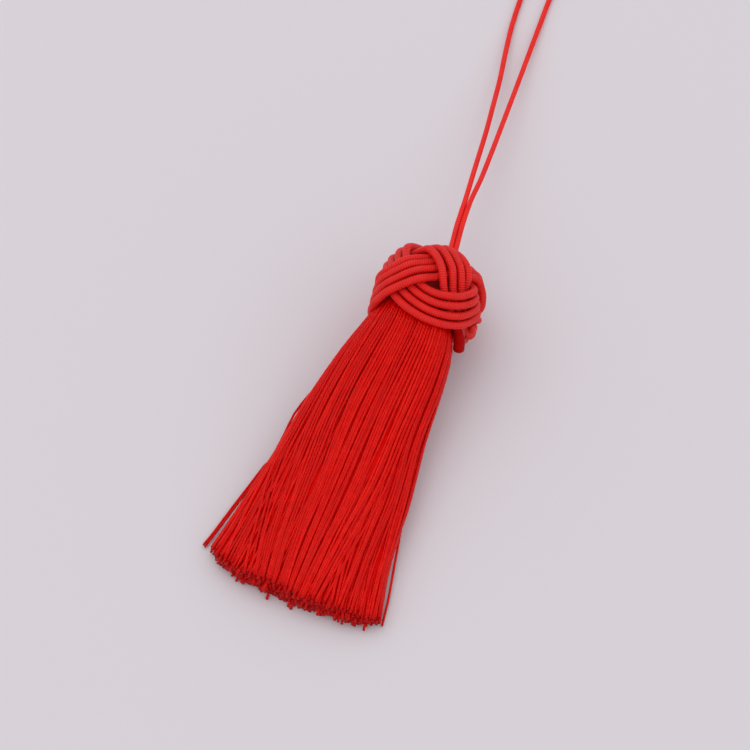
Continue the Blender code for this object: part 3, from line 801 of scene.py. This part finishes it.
def cutAt(route, end):
    # ends the route where it crosses the hem, or runs it on straight as far as the hem
    if route[-1, 1] > end:
        step = route[-1] - route[-2]
        route = np.vstack([route, route[-1] + step * (end - route[-1, 1]) / step[1]])
    inside = np.nonzero(route[:, 1] > end)[0][-1]
    here, there = route[inside], route[inside + 1]
    return np.vstack([route[:inside + 1], here + (there - here) * (end - here[1]) / (there[1] - here[1])])


def makeSkirt():
    routes, thickness = threadRoutes()
    # every thread is a little slimmer where it is cut
    alongThread = np.linspace(0, 1, skirt["stations"])
    swell = thickness[:, None] * (1 - skirt["slimAtCut"] * ease(alongThread, 0.93, 1.0))
    size = len(routes) // skirt["joined"]
    for part in range(skirt["joined"]):
        some = slice(part * size, (part + 1) * size)
        name = f"silk_threads_{part + 1}"
        threads = makeTubes(name, routes[some], silk["thread"], skirt["sides"], swell[some])
        threads.data.materials.append(silkMaterial)
        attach(threads, "root")
        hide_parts("tassel_skirt")


makeSkirt()
print("skirt of", skirt["threads"], "threads")


# ---- threads lying deeper in the skirt, seen only as red between the outer ones
deepSilk = {"inset": 0.5, "points": 72, "rings": 30, "endInset": 2.0, "roots": -8.0, "lowest": 0.3,
            "stripes": 420.0}


def deepRing(bm, share, layer):
    # share is the way gone from the roots to the hem, which isn't straight, so each point has its own end
    rows = smoothLine(skirtSections, 5)
    inset = deepSilk["inset"]
    verts = []
    for number in range(deepSilk["points"]):
        angle = 2 * math.pi * number / deepSilk["points"] - math.pi / 2
        toward = np.array([[math.cos(angle), math.sin(angle)]]) * 99
        atHem = keepInside(toward, rows[-1, 3] - inset, rows[-1, 4] - inset, rows[-1, 5])
        end = hemAt(atHem[0, 0] + rows[-1, 1]) + deepSilk["endInset"]
        along = deepSilk["roots"] + share * (end - deepSilk["roots"])
        row = [np.interp(-along, -rows[:, 0], rows[:, column]) for column in range(1, 6)]
        across, up = keepInside(toward, row[2] - inset, row[3] - inset, row[4])[0]
        place = np.array((across + row[0], along, max(up + row[1], deepSilk["lowest"])))
        vert = bm.verts.new((place - baseCentre) * mm)
        vert[layer] = number / deepSilk["points"]
        verts.append(vert)
    return [bm.edges.new(pair) for pair in zip(verts, verts[1:] + verts[:1])]


def makeDeepSilk():
    bm = bmesh.new()
    layer = bm.verts.layers.float.new("around")
    rings = [deepRing(bm, share, layer) for share in np.linspace(0, 1, deepSilk["rings"])]
    for here, there in zip(rings[:-1], rings[1:]):
        bmesh.ops.bridge_loops(bm, edges=here + there)
    bmesh.ops.holes_fill(bm, edges=rings[0] + rings[-1], sides=0)
    bmesh.ops.recalc_face_normals(bm, faces=bm.faces)
    mesh = meshFrom(bm, "deep_silk")
    mesh.shade_smooth()
    mesh.materials.append(makeLightenedDeepSilk(deepSilk["stripes"]))
    deep = linkObject("deep_silk", mesh)
    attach(deep, "root")
    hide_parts("tassel_skirt")


makeDeepSilk()
print("deep silk laid")


# ---- surface and light
room = {"floor": "#d5d1d5", "floorSize": 3.0, "colour": "#f4f2f5", "strength": 0.975}
lights = {
    "key": {"place": (-0.30, 0.24, 0.88), "size": 0.8, "power": 1.3, "colour": "#fffaf6"},
    "fill": {"place": (0.5, -0.5, 0.8), "size": 0.9, "power": 0.6, "colour": "#f6f8ff"},
}


# smooth matt paper: pale and without a shine, so only soft shadows show on it
def makeFloor():
    bm = bmesh.new()
    bmesh.ops.create_grid(bm, x_segments=1, y_segments=1, size=room["floorSize"])
    floor = linkObject("floor", meshFrom(bm, "floor"))
    material, _, shader = newMaterial("pale_plain_floor")
    shader.inputs["Base Color"].default_value = toLinear(room["floor"])
    shader.inputs["Roughness"].default_value = 0.9
    floor.data.materials.append(material)


def makeLights():
    for name, values in lights.items():
        data = bpy.data.lights.new(name, "AREA")
        data.size = values["size"]
        data.energy = values["power"]
        data.color = toLinear(values["colour"])[:3]
        light = linkObject(name, data)
        light.location = fromView(*values["place"])
        aimAt(light, fromView(0, 0, 0))


def makeRoom():
    world = bpy.data.worlds.new("soft_room")
    world.use_nodes = True
    background = world.node_tree.nodes["Background"]
    background.inputs["Color"].default_value = toLinear(room["colour"])
    background.inputs["Strength"].default_value = room["strength"]
    bpy.context.scene.world = world
    bpy.context.scene.view_settings.view_transform = "Standard"


makeFloor()
makeLights()
makeRoom()
print("floor and lights")
